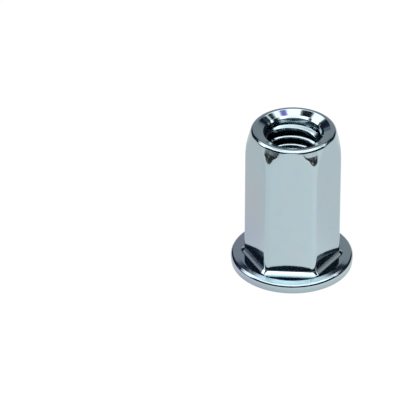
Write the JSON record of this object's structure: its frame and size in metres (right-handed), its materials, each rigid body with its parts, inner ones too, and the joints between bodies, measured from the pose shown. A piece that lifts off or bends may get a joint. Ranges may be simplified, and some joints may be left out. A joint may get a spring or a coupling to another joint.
{
  "type": "rivet nut",
  "caption": "Open-end M6 rivet nut with a wide flat flange, a full hexagonal shank, a rounded countersunk nose and an internal thread.",
  "frame": {"origin": "centre of the flange's outer face, on the axis", "axes": "+Z runs along the axis from the flange to the nose; two of the six flats face -Y and +Y"},
  "size_m": [0.013, 0.013, 0.0165],
  "materials": {
    "zinc_plated_steel": "bright zinc plating with a pale blue passivate"
  },
  "bodies": {
    "root": {"rivet_nut": "zinc_plated_steel"}
  },
  "joints": []
}
